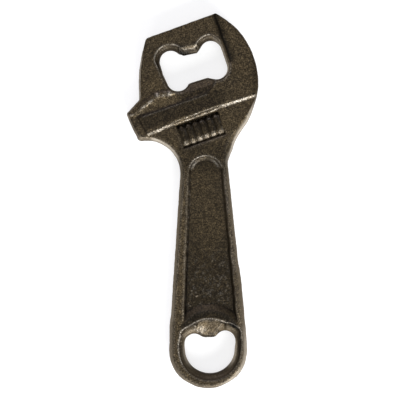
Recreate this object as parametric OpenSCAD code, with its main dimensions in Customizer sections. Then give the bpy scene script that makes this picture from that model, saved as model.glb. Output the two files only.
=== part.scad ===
// Cast bottle opener in the shape of an adjustable wrench.
// The opener lies on its back: the handle runs along Y, and +Z is the normal of the face.
// Every outline is drawn from the centre of the hanging eye, and the two faces are alike.

/* [Handle] */
// Radius of the outside of the hanging eye
eye_r = 16.2; // [15.5:0.1:17]
// Width of the handle where it is narrowest, just below the head
waist_w = 20.7; // [19:0.1:22]
// Distance from the centre of the eye to the waist
waist_y = 74.6; // [73:0.1:76]
// Radius of the inner curve between the waist and the lower jaw
left_fillet_r = 14.2; // [13.5:0.1:15]
// Radius of the inner curve between the waist and the right shoulder
right_fillet_r = 23; // [18:0.5:25]

/* [Head] */
// Distance from the centre of the eye to the tip of the head
tip_y = 143.8; // [143:0.1:145]
// Slope of the jaws against a line across the handle, in degrees
jaw_tilt = 18.2; // [17.5:0.1:19]
// Distance from the handle's centre line to the outermost point of the crescent
crest_x = 23.8; // [23.2:0.1:24.5]
// Radius of the crescent's upper arc
crescent_r = 33.8; // [33:0.1:35]
// Radius of the shoulder arc below the crescent
shoulder_r = 24; // [23:0.1:25]

/* [Openings] */
// Radius of the four round corners of the cap window
lobe_r = 4.7; // [4.4:0.1:4.9]
// Radius of the hole in the hanging eye, where it is narrowest
eye_hole_r = 10.8; // [10:0.1:11.2]
// How far the bevel widens the eye's hole at each face
eye_bevel = 2.4; // [1.5:0.1:2.8]

/* [Thickness] */
// Thickness of the crescent and of the eye, the thickest places
full_t = 9; // [8.6:0.1:10]
// Thickness of the upper jaw
upper_jaw_t = 7.4; // [7:0.1:8]
// Thickness of the lower jaw
lower_jaw_t = 8.2; // [7.6:0.1:8.5]
// Thickness of the waist and of the plate around the worm
waist_t = 7.4; // [7:0.1:8]
// Thickness of the web between the two hollow panels of the handle
panel_t = 5.2; // [4.4:0.1:5.8]
// Thickness of the web between the two worm pockets
pocket_t = 3.6; // [3:0.1:4.4]
// Draft of the cast walls, from the middle plane to each face, in degrees
draft = 14; // [8:1:16]

/* [Worm] */
// Number of ribs on the worm
worm_ribs = 6; // [5:1:7]
// Distance from one rib to the next
worm_pitch = 3.05; // [2.9:0.05:3.1]
// Radius over the ribs
worm_r = 4.3; // [4:0.1:4.4]
// Depth of the grooves between the ribs
worm_groove = 0.8; // [0.4:0.1:1]

/* [Hidden] */
$fn = 96;
iron = [0.235, 0.205, 0.165];
iron_worn = [0.275, 0.24, 0.19];
iron_dark = [0.19, 0.165, 0.135];

// Cutters reach past the faces by far, and a little past the start of a curve.
reach = 10;
overlap = 0.5;
far = 200;
widen = reach * tan(draft);
half_full = full_t / 2;

// A cut along an edge runs on past an outward corner, and takes off this much beside the edge.
past_corner = 3;
outward = 15;

function direction(angle) = [cos(angle), sin(angle)];

// The jaws have a frame of their own, around the middle of the cap window and turned with them.
// It hangs from the tip of the head, where the upper jaw's edge meets the crescent.
function turned(p) = [
  p.x * cos(jaw_tilt) - p.y * sin(jaw_tilt),
  p.x * sin(jaw_tilt) + p.y * cos(jaw_tilt)
];
crest_y = 114.1;
crescent_at = [crest_x - crescent_r, crest_y];
tip_in_jaw = [16.5, 18.1];
tip = [crescent_at.x + sqrt(pow(crescent_r, 2) - pow(tip_y - crest_y, 2)), tip_y];
jaw_at = tip - turned(tip_in_jaw);

// Lines across the head, seen in the jaws' frame.
bar_top = -13.1;
bar_bottom = -21.2;
crease = 15.4;

// The outline of the head on the left, from the jaw's foot to the top.
jaw_foot = 90;
jaw_heel = [-27.9, jaw_foot];
jaw_corner = [-32.5, 101.5];
jaw_notch = [-26.9, 107.3];
jaw_notch_r = 0.3;
left_wall_bend = [-26.85, 118.4];
left_wall_top = [-23.7, 133.95];
left_wall_dir = (left_wall_top - left_wall_bend) / norm(left_wall_top - left_wall_bend);
corner_cut = 2.2;
top_edge_drop = 0.25;

// The handle's sides touch the eye's circle, and bend inwards a little on their way to the waist.
side_bend = [15.3, 18];
side_low_angle = atan2(side_bend.y, side_bend.x) - acos(eye_r / norm(side_bend));
side_low = eye_r * direction(side_low_angle);
side_lean = atan2(side_bend.x - waist_w / 2, waist_y - side_bend.y);
function side_x(y) = side_bend.x - (y - side_bend.y) * tan(side_lean);
function on_left(p) = [-p.x, p.y];
left_fillet_at = [-side_x(waist_y), waist_y] + left_fillet_r * [-cos(side_lean), sin(side_lean)];

// The straight flank between the shoulder arc and the right fillet.
flank_lean = 34.8;
shoulder_at = [crest_x - shoulder_r, crest_y];
flank_top = shoulder_at + shoulder_r * [cos(flank_lean), -sin(flank_lean)];
flank_dir = [sin(flank_lean), cos(flank_lean)];
flank_run = (flank_top.x - side_x(flank_top.y)) / (flank_dir.x + tan(side_lean) * flank_dir.y);
flank_foot = flank_top - flank_run * flank_dir;
fillet_leg = right_fillet_r * tan((flank_lean + side_lean) / 2);
right_fillet_low = flank_foot + fillet_leg * [sin(side_lean), -cos(side_lean)];
right_fillet_high = flank_foot + fillet_leg * flank_dir;
right_fillet_at = right_fillet_low + right_fillet_r * [cos(side_lean), sin(side_lean)];

// The blanks of the handle and of the head end out here, where the cuts along the edges take over.
blank_left = -28;
blank_right = 30;

// The cap window, seen in the jaws' frame: the centres of its round corners, the edges of its
// two teeth, and the angles at which the teeth leave the round corners.
lobes = [[-8.4, 5.2], [9.2, 3.4], [9.2, -4.2], [-8.2, -3.6]];
upper_tooth = [[-2.3, 5.6], [3.4, 4.8]];
lower_tooth = [[4.2, -6.8], [-3.8, -6.4]];
leave_angles = [25, 140, 230, 320];
upper_tooth_t = 3.2;
upper_tooth_lean = -8;
cap_tooth_tip_t = 3.2;
cap_tooth_root_t = full_t - 0.6;
tooth_side = [[-8, bar_top], [-5.4, -8]];
tooth_shoulder = [[1.4, bar_top], [4.2, -11.9], [6.6, -9.6]];

// The crest of the lower jaw, from the window to the jaw's left face.
crest_low = -6;
crest_line = [
  [-5.4, crest_low],
  [-9, crest_low],
  [-13.2, -7.4],
  [-18.6, -6.3],
  [-24.7, -8.2],
  [-28.2, -9.4]
];
strip = [[-27.8, bar_bottom - 6], [-28.2, bar_bottom], [-29.5, bar_top]];
jaw_left = -40;

// The eye's hole, its two small corners and the lip between them.
eye_hole_at = [0.7, 0.4];
eye_corner_left = [-5.8, 3];
eye_corner_right = [7.4, 3.7];
eye_corner_left_r = 4;
eye_corner_right_r = 4.3;
lip_tip_y = 5.35;
lip_root_y = 13;
lip_tip_t = 2.6;

// The handle's hollow panels: their round top, and the eye's boss that bulges into their foot.
panel_top_at = [0.5, 75.6];
panel_top_r = 7.45;
panel_low_y = 8;
panel_foot_x = [-10.7, 12.9];
boss_at = [0.8, 2.8];
boss_r = 17;
boss_slope = 2.8;
eye_top = 9.5;

// The pocket around the worm, seen in the jaws' frame.
pocket = [18.9, 10.3];
pocket_at = [-5.9, -26.9];

// ---------- tools ----------

// A cone pair that is r wide at the middle plane and wider towards both faces.
module double_cone(r, wider = widen) {
  for (side = [0, 1])
    mirror([0, 0, side])
      cylinder(h = reach, r1 = r, r2 = r + wider);
}

// The same, but narrower towards both faces.
module round_blank(r) {
  for (side = [0, 1])
    mirror([0, 0, side])
      cylinder(h = reach, r1 = r, r2 = r - widen);
}

// A flat outline as a plate of the thickness t around the middle plane.
module plate(t) {
  translate([0, 0, -t / 2])
    linear_extrude(height = t)
      children();
}

module in_jaw() {
  translate([jaw_at.x, jaw_at.y, 0])
    rotate([0, 0, jaw_tilt])
      children();
}

// Takes off what lies to the right of the line from a to b, and leaves a drafted wall along it.
// The cut runs past an end where the outline has a corner that points outwards.
module edge_cut(a, b, before = 0, after = 0) {
  translate([a.x, a.y, 0])
    rotate([0, 0, atan2(b.y - a.y, b.x - a.x)])
      translate([-before, 0, 0])
        rotate([90, 0, 90])
          linear_extrude(height = norm(b - a) + before + after)
            polygon([[0, 0], [widen, reach], [-outward, reach], [-outward, -reach], [widen, -reach]]);
}

// Takes off what lies outside an arc around c, within the outline that is given as a child.
module arc_cut(c, r) {
  difference() {
    plate(2 * reach - 1)
      children();
    translate([c.x, c.y, 0])
      round_blank(r);
  }
}

// ---------- outlines ----------

// The handle from the eye's widest line up into the head, with its fillets left full.
module handle_outline() {
  polygon([
    [-side_x(waist_y), waist_y],
    on_left(side_bend),
    on_left(side_low),
    side_low,
    side_bend,
    right_fillet_low,
    right_fillet_high,
    flank_top,
    [blank_right, flank_top.y],
    [blank_right, crest_y],
    [blank_left, crest_y],
    [blank_left, jaw_foot],
    [left_fillet_at.x, jaw_foot]
  ]);
}

module head_outline() {
  polygon([
    jaw_heel,
    [blank_right, jaw_foot],
    [blank_right, tip_y],
    [-1, tip_y],
    left_wall_top + past_corner * left_wall_dir,
    left_wall_bend,
    jaw_notch,
    jaw_corner
  ]);
}

// The lower jaw: the block on the left that wraps around the end of the bar.
module lower_jaw_outline() {
  polygon(concat(
    [[jaw_left, bar_bottom - 6]],
    strip,
    tooth_side,
    crest_line,
    [[-30, crest_low], [jaw_left, crest_low]]
  ));
}

// The sloping tooth at the foot of the cap window.
module cap_tooth_outline() {
  polygon(concat(
    [tooth_side[0]],
    tooth_shoulder,
    [[tooth_shoulder[2].x, crest_low], crest_line[0], tooth_side[1]]
  ));
}

module above_bar() {
  translate([-far / 2, bar_bottom])
    square([far, far]);
}

module upper_jaw_outline() {
  polygon([
    [crease, lobes[1].y],
    [crease, far / 4],
    [-far / 4, far / 4],
    [-far / 4, bar_top + 1],
    [lobes[3].x, bar_top + 1],
    [lobes[3].x, 0],
    [lobes[1].x, 0],
    [lobes[1].x, lobes[1].y]
  ]);
}

// The region of the eye: its ring and the boss above it.
module eye_outline() {
  translate([-far / 2, -far + eye_top])
    square([far, far]);
  translate(boss_at)
    circle(r = boss_r);
}

module panel_outline() {
  shoulder = panel_top_r * direction(20);
  polygon([
    [panel_foot_x[0], panel_low_y],
    [panel_foot_x[1], panel_low_y],
    panel_top_at + shoulder,
    panel_top_at + on_left(shoulder)
  ]);
  translate(panel_top_at)
    circle(r = panel_top_r);
}

// ---------- cutters ----------

// Everything outside the drafted walls of the head.
module head_edges() {
  edge_cut(tip, tip - turned([40, top_edge_drop]), before = past_corner);
  edge_cut(
    left_wall_top + turned([corner_cut, 0]),
    left_wall_top - corner_cut * left_wall_dir,
    before = past_corner,
    after = past_corner
  );
  edge_cut(left_wall_top, left_wall_bend, before = past_corner, after = past_corner);
  edge_cut(left_wall_bend, jaw_notch, before = past_corner);
  edge_cut(jaw_notch, jaw_corner, after = past_corner);
  edge_cut(jaw_corner, jaw_heel, before = past_corner, after = past_corner);
  translate([jaw_notch.x, jaw_notch.y, 0])
    double_cone(jaw_notch_r);
  arc_cut(crescent_at, crescent_r)
    translate([crescent_at.x, crest_y])
      square([60, 40]);
}

// Everything outside the drafted walls of the handle.
module handle_edges() {
  edge_cut([-side_x(waist_y), waist_y], on_left(side_bend), after = past_corner);
  edge_cut(on_left(side_bend), on_left(side_low), before = past_corner);
  edge_cut(side_low, side_bend, after = past_corner);
  edge_cut(side_bend, right_fillet_low, before = past_corner);
}

// Everything outside the curves that join the handle to the head.
module neck_edges() {
  edge_cut(jaw_heel, [left_fillet_at.x, jaw_foot], before = past_corner);
  edge_cut(right_fillet_high, flank_top);
  arc_cut(shoulder_at, shoulder_r)
    translate([shoulder_at.x, flank_top.y - overlap])
      square([40, crest_y - flank_top.y + overlap]);
  translate([left_fillet_at.x, left_fillet_at.y, 0])
    double_cone(left_fillet_r);
  translate([right_fillet_at.x, right_fillet_at.y, 0])
    double_cone(right_fillet_r);
}

// The cap window, narrowest at the middle plane.
module cap_window() {
  in_jaw() {
    plate(2 * reach)
      polygon([
        [lobes[0].x - lobe_r, lobes[0].y],
        lobes[0],
        lobes[0] + lobe_r * direction(leave_angles[0]),
        upper_tooth[0],
        upper_tooth[1],
        lobes[1] + lobe_r * direction(leave_angles[1]),
        lobes[1],
        [lobes[1].x + lobe_r, lobes[1].y],
        [lobes[2].x + lobe_r, lobes[2].y],
        lobes[2],
        lobes[2] + lobe_r * direction(leave_angles[2]),
        lower_tooth[0],
        lower_tooth[1],
        lobes[3] + lobe_r * direction(leave_angles[3]),
        lobes[3],
        [lobes[3].x - lobe_r, lobes[3].y]
      ]);
    for (p = lobes)
      translate([p.x, p.y, 0])
        double_cone(lobe_r);
    window_side(lobes[3] - [lobe_r, 0], lobes[0] - [lobe_r, 0]);
    window_side(lobes[1] + [lobe_r, 0], lobes[2] + [lobe_r, 0]);
  }
}

// A straight drafted wall of the window, from a to b with the hole on the right.
module window_side(a, b) {
  along = norm(b - a);
  translate([a.x, a.y, 0])
    rotate([0, 0, atan2(b.y - a.y, b.x - a.x)])
      rotate([90, 0, 90])
        linear_extrude(height = along)
          polygon([[0, 0], [widen, reach], [-1, reach], [-1, -reach], [widen, -reach]]);
}

// The bevel under the upper tooth, which lets the rim of a cap slip behind it.
module upper_tooth_ramp() {
  ramp = 2;
  edge = upper_tooth_t / 2;
  in_jaw()
    translate([upper_tooth[0].x, upper_tooth[0].y, 0])
      rotate([0, 0, upper_tooth_lean])
        rotate([90, 0, 90])
          linear_extrude(height = norm(upper_tooth[1] - upper_tooth[0]))
            polygon([[-1, edge], [0, edge], [ramp, upper_jaw_t / 2], [ramp, reach], [-1, reach]]);
}

// The sloping step from the bar down to the plate around the worm.
module bar_step() {
  step_w = 1.4;
  in_jaw()
    rotate([90, 0, 90])
      translate([0, 0, -far / 2])
        linear_extrude(height = far)
          polygon([
            [bar_bottom - 1, waist_t / 2],
            [bar_bottom, waist_t / 2],
            [bar_bottom + step_w, half_full],
            [bar_bottom + step_w, reach],
            [bar_bottom - 1, reach]
          ]);
}

module eye_hole() {
  translate([eye_hole_at.x, eye_hole_at.y, 0])
    double_cone(eye_hole_r, eye_bevel * reach / half_full);
}

// The hollow panel of one face, with the eye's boss left standing in its foot.
module panel_cut() {
  difference() {
    translate([0, 0, panel_t / 2])
      linear_extrude(height = reach)
        panel_outline();
    translate([boss_at.x, boss_at.y, panel_t / 2])
      cylinder(h = half_full - panel_t / 2, r1 = boss_r, r2 = boss_r - boss_slope);
    translate([boss_at.x, boss_at.y, -reach])
      cylinder(h = 3 * reach, r = boss_r - boss_slope);
  }
}

// Lowers the handle's faces from the eye to the waist.
module face_slope() {
  start_y = 20;
  rise = waist_t / 2;
  rotate([90, 0, 90])
    translate([0, 0, -far / 2])
      linear_extrude(height = far)
        polygon([
          [-far, half_full],
          [start_y, half_full],
          [waist_y + 8, rise],
          [far, rise],
          [far, reach],
          [-far, reach]
        ]);
}

module on_both_faces() {
  for (side = [0, 1])
    mirror([0, 0, side])
      children();
}

// Moves the drawing from the eye's centre to the middle of the opener's underside.
module placed() {
  left_x = jaw_corner.x;
  low_y = -eye_r;
  translate([-(left_x + crest_x) / 2, -(low_y + tip_y) / 2, half_full])
    children();
}

// ---------- sub-parts ----------

// The handle with its raised rails and hollow panels, up to the foot of the bar.
module handle() {
  color(iron)
    placed()
      difference() {
        plate(full_t)
          handle_outline();
        handle_edges();
        neck_edges();
        on_both_faces()
          face_slope();
        on_both_faces()
          panel_cut();
        plate(2 * reach)
          eye_outline();
        in_jaw()
          plate(2 * reach) {
            above_bar();
            lower_jaw_outline();
            translate(pocket_at - pocket / 2)
              square(pocket);
          }
      }
}

// The eye at the end of the handle, with its bevelled hole and the boss that carries it.
module hang_eye() {
  color(iron)
    placed()
      difference() {
        union() {
          intersection() {
            round_blank(eye_r);
            cube([far, far, full_t], center = true);
          }
          difference() {
            intersection() {
              plate(full_t)
                handle_outline();
              plate(full_t)
                eye_outline();
            }
            handle_edges();
          }
        }
        on_both_faces()
          panel_cut();
        eye_hole();
      }
}

// The tooth inside the eye, which thins from its root to its rounded tip.
module eye_lip() {
  thick = half_full;
  thin = lip_tip_t / 2;
  color(iron_worn)
    placed()
      difference() {
        intersection() {
          eye_hole();
          rotate([90, 0, 90])
            translate([0, 0, -eye_r])
              linear_extrude(height = 2 * eye_r)
                polygon([
                  [lip_tip_y, -thin],
                  [lip_root_y, -thick],
                  [eye_r, -thick],
                  [eye_r, thick],
                  [lip_root_y, thick],
                  [lip_tip_y, thin]
                ]);
          plate(full_t)
            translate([eye_corner_left.x - 3, lip_tip_y])
              square([eye_corner_right.x - eye_corner_left.x + 6, eye_r]);
        }
        translate([eye_corner_left.x, eye_corner_left.y, 0])
          double_cone(eye_corner_left_r);
        translate([eye_corner_right.x, eye_corner_right.y, 0])
          double_cone(eye_corner_right_r);
      }
}

// The ribbed worm, a full round that stands out of its web on both faces.
module worm() {
  rib = 2 / 3 * worm_pitch;
  span = worm_ribs * worm_pitch;
  color(iron_dark)
    placed()
      in_jaw()
        translate([pocket_at.x, pocket_at.y, 0]) {
          plate(pocket_t)
            square(pocket, center = true);
          rotate([0, 90, 0]) {
            cylinder(h = span, r = worm_r - worm_groove, center = true);
            for (i = [0 : worm_ribs - 1])
              translate([0, 0, (i + 0.5) * worm_pitch - span / 2])
                worm_rib(rib);
          }
        }
}

// One rib with bevelled edges, around the Z axis.
module worm_rib(w) {
  bevel = 0.35;
  rotate_extrude()
    polygon([
      [0, -w / 2],
      [worm_r - bevel, -w / 2],
      [worm_r, bevel - w / 2],
      [worm_r, w / 2 - bevel],
      [worm_r - bevel, w / 2],
      [0, w / 2]
    ]);
}

// The raised bar and the crescent that it runs into.
module crescent() {
  color(iron)
    placed()
      difference() {
        plate(full_t)
          head_outline();
        head_edges();
        cap_window();
        neck_edges();
        on_both_faces()
          bar_step();
        in_jaw()
          plate(2 * reach) {
            lower_jaw_outline();
            cap_tooth_outline();
            upper_jaw_outline();
            translate([-far / 2, bar_bottom - far])
              square([far, far]);
          }
      }
}

// The upper jaw, with the wall that closes the window on the left.
module upper_jaw() {
  color(iron)
    placed()
      difference() {
        intersection() {
          plate(upper_jaw_t)
            head_outline();
          in_jaw()
            plate(upper_jaw_t)
              upper_jaw_outline();
        }
        head_edges();
        cap_window();
        on_both_faces()
          upper_tooth_ramp();
        in_jaw()
          plate(2 * reach) {
            lower_jaw_outline();
            cap_tooth_outline();
          }
      }
}

// The lower jaw, the block around the left end of the bar.
module lower_jaw() {
  color(iron_worn)
    placed()
      difference() {
        intersection() {
          plate(lower_jaw_t)
            head_outline();
          in_jaw()
            plate(lower_jaw_t)
              lower_jaw_outline();
        }
        head_edges();
        neck_edges();
        cap_window();
      }
}

// The sloping tooth at the foot of the window, the edge that lifts the cap.
module cap_tooth() {
  thin = cap_tooth_tip_t / 2;
  thick = cap_tooth_root_t / 2;
  color(iron_worn)
    placed()
      difference() {
        in_jaw()
          intersection() {
            plate(full_t)
              cap_tooth_outline();
            rotate([90, 0, 90])
              translate([0, 0, -far / 2])
                linear_extrude(height = far)
                  polygon([
                    [lower_tooth[0].y, thin],
                    [bar_top, thick],
                    [bar_top - 1, thick],
                    [bar_top - 1, -thick],
                    [bar_top, -thick],
                    [lower_tooth[0].y, -thin],
                    [0, -thin],
                    [0, thin]
                  ]);
          }
        cap_window();
      }
}

handle();
hang_eye();
eye_lip();
worm();
crescent();
upper_jaw();
lower_jaw();
cap_tooth();
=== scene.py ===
"""A cast-iron bottle opener in the shape of an adjustable wrench.

The opener is a single casting. Its form is drawn here as flat outlines, a map of its half
thickness and drafted walls, in the same drawing frame as the CAD. The surface is meshed once,
gets its cast grain, and is then parted into one closed piece for each CAD node. Wear, painted
highlights, painted shade in its hollows and grooves, and painted lighter and darker areas are
marks on its vertices, which one material reads.
"""

from itertools import product
from math import acos, asin, atan2, cos, degrees, hypot, radians, sin, tan

import bpy
import numpy as np
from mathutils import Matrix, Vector


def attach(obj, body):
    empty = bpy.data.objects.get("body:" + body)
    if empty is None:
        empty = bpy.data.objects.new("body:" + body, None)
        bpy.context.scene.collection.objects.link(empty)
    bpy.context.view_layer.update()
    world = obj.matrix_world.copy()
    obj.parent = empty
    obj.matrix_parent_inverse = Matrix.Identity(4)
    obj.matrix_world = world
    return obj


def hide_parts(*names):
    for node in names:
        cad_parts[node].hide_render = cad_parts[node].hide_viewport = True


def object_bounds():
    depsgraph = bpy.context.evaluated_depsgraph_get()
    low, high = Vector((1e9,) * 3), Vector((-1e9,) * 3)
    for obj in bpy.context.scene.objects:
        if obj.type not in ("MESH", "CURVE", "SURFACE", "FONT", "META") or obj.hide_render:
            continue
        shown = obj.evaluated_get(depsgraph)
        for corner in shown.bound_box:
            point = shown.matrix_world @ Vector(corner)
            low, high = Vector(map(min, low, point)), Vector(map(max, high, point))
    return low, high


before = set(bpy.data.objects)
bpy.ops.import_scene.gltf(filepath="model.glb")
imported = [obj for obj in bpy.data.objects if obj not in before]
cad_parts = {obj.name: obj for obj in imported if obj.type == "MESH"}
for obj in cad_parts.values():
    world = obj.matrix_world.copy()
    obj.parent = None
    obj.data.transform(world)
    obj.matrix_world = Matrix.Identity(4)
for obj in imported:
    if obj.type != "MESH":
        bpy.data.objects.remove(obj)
cad_low, cad_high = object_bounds()

MM = 0.001
CELL = 0.33  # the mesh's spacing, in millimetres
MAP_STEP = CELL / 2  # the flat maps are twice as fine
MARGIN = 3 * CELL  # what the maps cover around the casting

# The drawing, in millimetres. Its origin is the middle of the hanging eye, Y runs along the
# handle, and Z counts from the middle plane, about which the two faces are alike.
EYE_R = 16.2
SIDE_BEND = (15.3, 18)
WAIST_X, WAIST_Y = 10.35, 74.6
LEFT_FILLET_R = 14.2
RIGHT_FILLET_R = 23
FLANK_LEAN = 34.8
CREST_X, CREST_Y = 23.8, 114.1
SHOULDER_R = 24
CRESCENT_R = 33.8
TIP_Y = 143.8
JAW_FOOT_Y = 90
JAW_HEEL = (-27.9, JAW_FOOT_Y)
JAW_CORNER = (-32.5, 101.5)
JAW_NOTCH = (-26.9, 107.3)
LEFT_WALL_AT, LEFT_WALL_R = (52.95, 112), 80
LEFT_WALL_FROM, LEFT_WALL_TO = 165.6, 182.4
# The radii that round the outline's corners.
TIP_ROUND, TOP_CORNER_ROUND = 1.0, 2.8
NOTCH_ROUND, JAW_CORNER_ROUND, HEEL_ROUND = 1.3, 0.35, 1.7

# The jaws' own frame: turned, and hung from the tip of the head.
JAW_TILT = 18.2
TIP_IN_JAW = (16.5, 18.1)
TOP_EDGE_LEFT = (-14, TIP_IN_JAW[1] - 0.2)
BAR_TOP = -13.1
BAR_BOTTOM = -20.8
BAR_STEP = 1.7
BAR_FOOT = [(21, -21.75), (4.4, -21.25), (-14.5, -21.45), (-21.5, -21.95), (-28.5, -22.45)]
BAR_END = [(-29.5, BAR_TOP), (-28.2, BAR_BOTTOM)]
CREASE = 15.4
LOBE_R = 4.7
LOBES = [(-8.4, 5), (9.2, 3.3), (9.1, -4.2), (-8.2, -3.5)]
UPPER_TOOTH = [(-2.3, 5.5), (3.4, 4.7)]
LOWER_TOOTH = [(4.2, -6.7), (-3.8, -6.3)]
LEAVE_ANGLES = [25, 140, 230, 320]  # where the teeth's edges leave the lobes
TOOTH_ROUND = 0.4
CREST_KNOBS = [(-13.4, -8), (-18.6, -6.9)]
CREST_LINE = [(-9, -6.4), (-13.2, -7.4), (-18.6, -6.3), (-24.7, -8.2), (-30, -10.2)]
POCKET_AT = (-6, -26.95)
POCKET = (18.8, 10.4)
WORM_R = 4.4
WORM_GROOVE = 1.0
WORM_RIBS = 6
WORM_PITCH = 3.05

# The eye's hole, its two small corners and the lip between them.
HOLE_AT, HOLE_R = (0.7, 0.55), 10.65
HOLE_LEFT_AT, HOLE_LEFT_R = (-5.8, 3), 4
HOLE_RIGHT_AT, HOLE_RIGHT_R = (7.4, 3.7), 4.3
LIP_X, LIP_Y, LIP_ROOT_Y = 0.3, 5.35, 12.8
# Where the lip's painted highlight sits.
LIP_GLINT_AT = (-2.9, 8.8)

# The handle's hollow panel and the boss of the eye that bulges into its foot.
PANEL_TOP_AT, PANEL_TOP_R = (0.5, 75.6), 7.45
PANEL_FOOT_X, PANEL_FOOT_Y = (-10.7, 12.9), 8
BOSS_AT, BOSS_R, BOSS_SLOPE = (0.8, 2.8), 17, 2.8
EYE_TOP_Y = 9.5

# Half thicknesses. SKIN keeps room inside the CAD's box for the cast grain.
CAD_HALF = 4.5
SKIN = 0.06
FULL = CAD_HALF - SKIN
UPPER_JAW = 3.7
LOWER_JAW = 4.1
WAIST = 3.7
PANEL = 2.6
POCKET_WEB = 1.8
TOOTH_TIP = 1.6
LIP_TIP = 1.3

# How far the walls run out from the middle plane to the face.
OUTER_RUN, HEAD_RUN = 1.15, 0.6
EYE_RUN = 2.4
LIP_RUN, CORNER_RUN = 0.9, 3.8
WINDOW_RUN, TOP_LOBE_RUN = 1.0, 2.1
# The outer walls' profile: upright at the middle plane, and round above it.
OUTER_HEIGHTS = [0, 0.3, 0.52, 0.7, 0.82, 0.92, 1, 1.4]
OUTER_RUNS = [0, 0.05, 0.17, 0.38, 0.62, 0.86, 1, 1.1]
# The walls of the holes are flatter at their top, and end in a small step under the rim.
HOLE_HEIGHTS = [0, 0.3, 0.5, 0.65, 0.75, 0.81, 0.85, 0.87, 0.93, 1, 1.4]
HOLE_RUNS = [0, 0.05, 0.16, 0.3, 0.45, 0.6, 0.76, 0.88, 0.95, 1, 1.1]

# For the marks.
# A spot of painted shade on the head, and the lip's edge, which gets a line of painted shade.
SHADED_SPOT, SHADED_SPOT_R = (-20.4, 127.7), 2.236
LIP_EDGE = [(-5.8, 9.6), (-4, 8), (-1.8, 6.2), (0.3, 5.6), (2, 5.8)]
SHARP_BEND = 0.035  # how far a sharp edge's vertex lies outside its neighbours, in millimetres


# ---------- flat geometry ----------


side_lean = atan2(SIDE_BEND[0] - WAIST_X, WAIST_Y - SIDE_BEND[1])
eye_touch = degrees(atan2(SIDE_BEND[1], SIDE_BEND[0]) - acos(EYE_R / hypot(*SIDE_BEND)))


def side_x(y):
    """The handle's side at the height y, from its bend up to the waist."""
    return SIDE_BEND[0] - (y - SIDE_BEND[1]) * tan(side_lean)


def arc(centre, radius, start, end, steps=24):
    """Points on an arc, from one angle to another, in degrees."""
    angles = np.radians(np.linspace(start, end, steps))
    return [(centre[0] + radius * cos(a), centre[1] + radius * sin(a)) for a in angles]


def rounded(before, corner, after, radius, steps=8):
    """Points around a corner of an outline that is rounded to a radius."""
    corner = np.array(corner, float)
    back = np.array(before) - corner
    on = np.array(after) - corner
    back, on = back / np.linalg.norm(back), on / np.linalg.norm(on)
    half = acos(np.clip(back @ on, -1, 1)) / 2
    leg = radius / tan(half)
    points = []
    for share in np.linspace(0, 1, steps):
        # A conic with this weight is the exact arc that touches both legs.
        weights = np.array([(1 - share) ** 2, 2 * share * (1 - share) * sin(half), share**2])
        legs = np.array([corner + back * leg, corner, corner + on * leg])
        points.append(tuple(weights @ legs / weights.sum()))
    return points


def to_jaw(x, y):
    """From the drawing's frame to the jaws' own."""
    turn = radians(JAW_TILT)
    x, y = x - JAW_AT[0], y - JAW_AT[1]
    return x * cos(turn) + y * sin(turn), y * cos(turn) - x * sin(turn)


def from_jaw(points):
    """From the jaws' own frame to the drawing's."""
    turn = radians(JAW_TILT)
    return [
        (JAW_AT[0] + s * cos(turn) - t * sin(turn), JAW_AT[1] + s * sin(turn) + t * cos(turn))
        for s, t in points
    ]


def outline_distance(x, y, corners):
    """Signed distance to a closed outline, negative inside."""
    nearest = np.full(x.shape, np.inf)
    inside = np.zeros(x.shape, bool)
    for (ax, ay), (bx, by) in zip(corners, corners[1:] + corners[:1]):
        dx, dy = bx - ax, by - ay
        if hypot(dx, dy) < 1e-6:
            continue
        along = np.clip(((x - ax) * dx + (y - ay) * dy) / (dx * dx + dy * dy), 0, 1)
        nearest = np.minimum(nearest, (x - ax - along * dx) ** 2 + (y - ay - along * dy) ** 2)
        if dy:
            inside ^= ((ay > y) != (by > y)) & (x < ax + (y - ay) * dx / dy)
    return np.where(inside, -1, 1) * np.sqrt(nearest)


def circle_distance(x, y, centre, radius):
    """Signed distance to a circle, negative inside."""
    return np.hypot(x - centre[0], y - centre[1]) - radius


def path_distance(x, y, points):
    """Distance to an open broken line."""
    nearest = np.full(x.shape, np.inf)
    for (ax, ay), (bx, by) in zip(points, points[1:]):
        dx, dy = bx - ax, by - ay
        along = np.clip(((x - ax) * dx + (y - ay) * dy) / (dx * dx + dy * dy), 0, 1)
        nearest = np.minimum(nearest, np.hypot(x - ax - along * dx, y - ay - along * dy))
    return nearest


def peak(x, width):
    """1 where x is 0, and falling to 0 over about twice the width."""
    return np.exp(-((x / width) ** 2))


def line_height(s, points):
    """The height of a broken line that runs from right to left."""
    line = np.array(points[::-1], float)
    return np.interp(s, line[:, 0], line[:, 1])


def smooth_min(a, b, radius):
    """The lower of two fields, with the corner between them rounded."""
    share = np.clip(radius - np.abs(a - b), 0, None) / radius
    return np.minimum(a, b) - share**2 * radius / 4


def smooth_max(a, b, radius):
    return -smooth_min(-a, -b, radius)


def fade(x, start, end):
    """0 before start, 1 past end, and smooth between them."""
    share = np.clip((x - start) / (end - start), 0, 1)
    return share * share * (3 - 2 * share)


def span(x, start, full, last, end):
    """1 from full to last, and falling smoothly to 0 at start and at end."""
    return fade(x, start, full) * fade(end - x, 0, end - last)


def mix(a, b, share):
    return a + (b - a) * share


crescent_at = (CREST_X - CRESCENT_R, CREST_Y)
tip_angle = degrees(asin((TIP_Y - CREST_Y) / CRESCENT_R))
tip = (crescent_at[0] + CRESCENT_R * cos(radians(tip_angle)), TIP_Y)
JAW_AT = (
    tip[0] - TIP_IN_JAW[0] * cos(radians(JAW_TILT)) + TIP_IN_JAW[1] * sin(radians(JAW_TILT)),
    tip[1] - TIP_IN_JAW[0] * sin(radians(JAW_TILT)) - TIP_IN_JAW[1] * cos(radians(JAW_TILT)),
)


# ---------- the noise of the sand mould ----------


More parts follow.
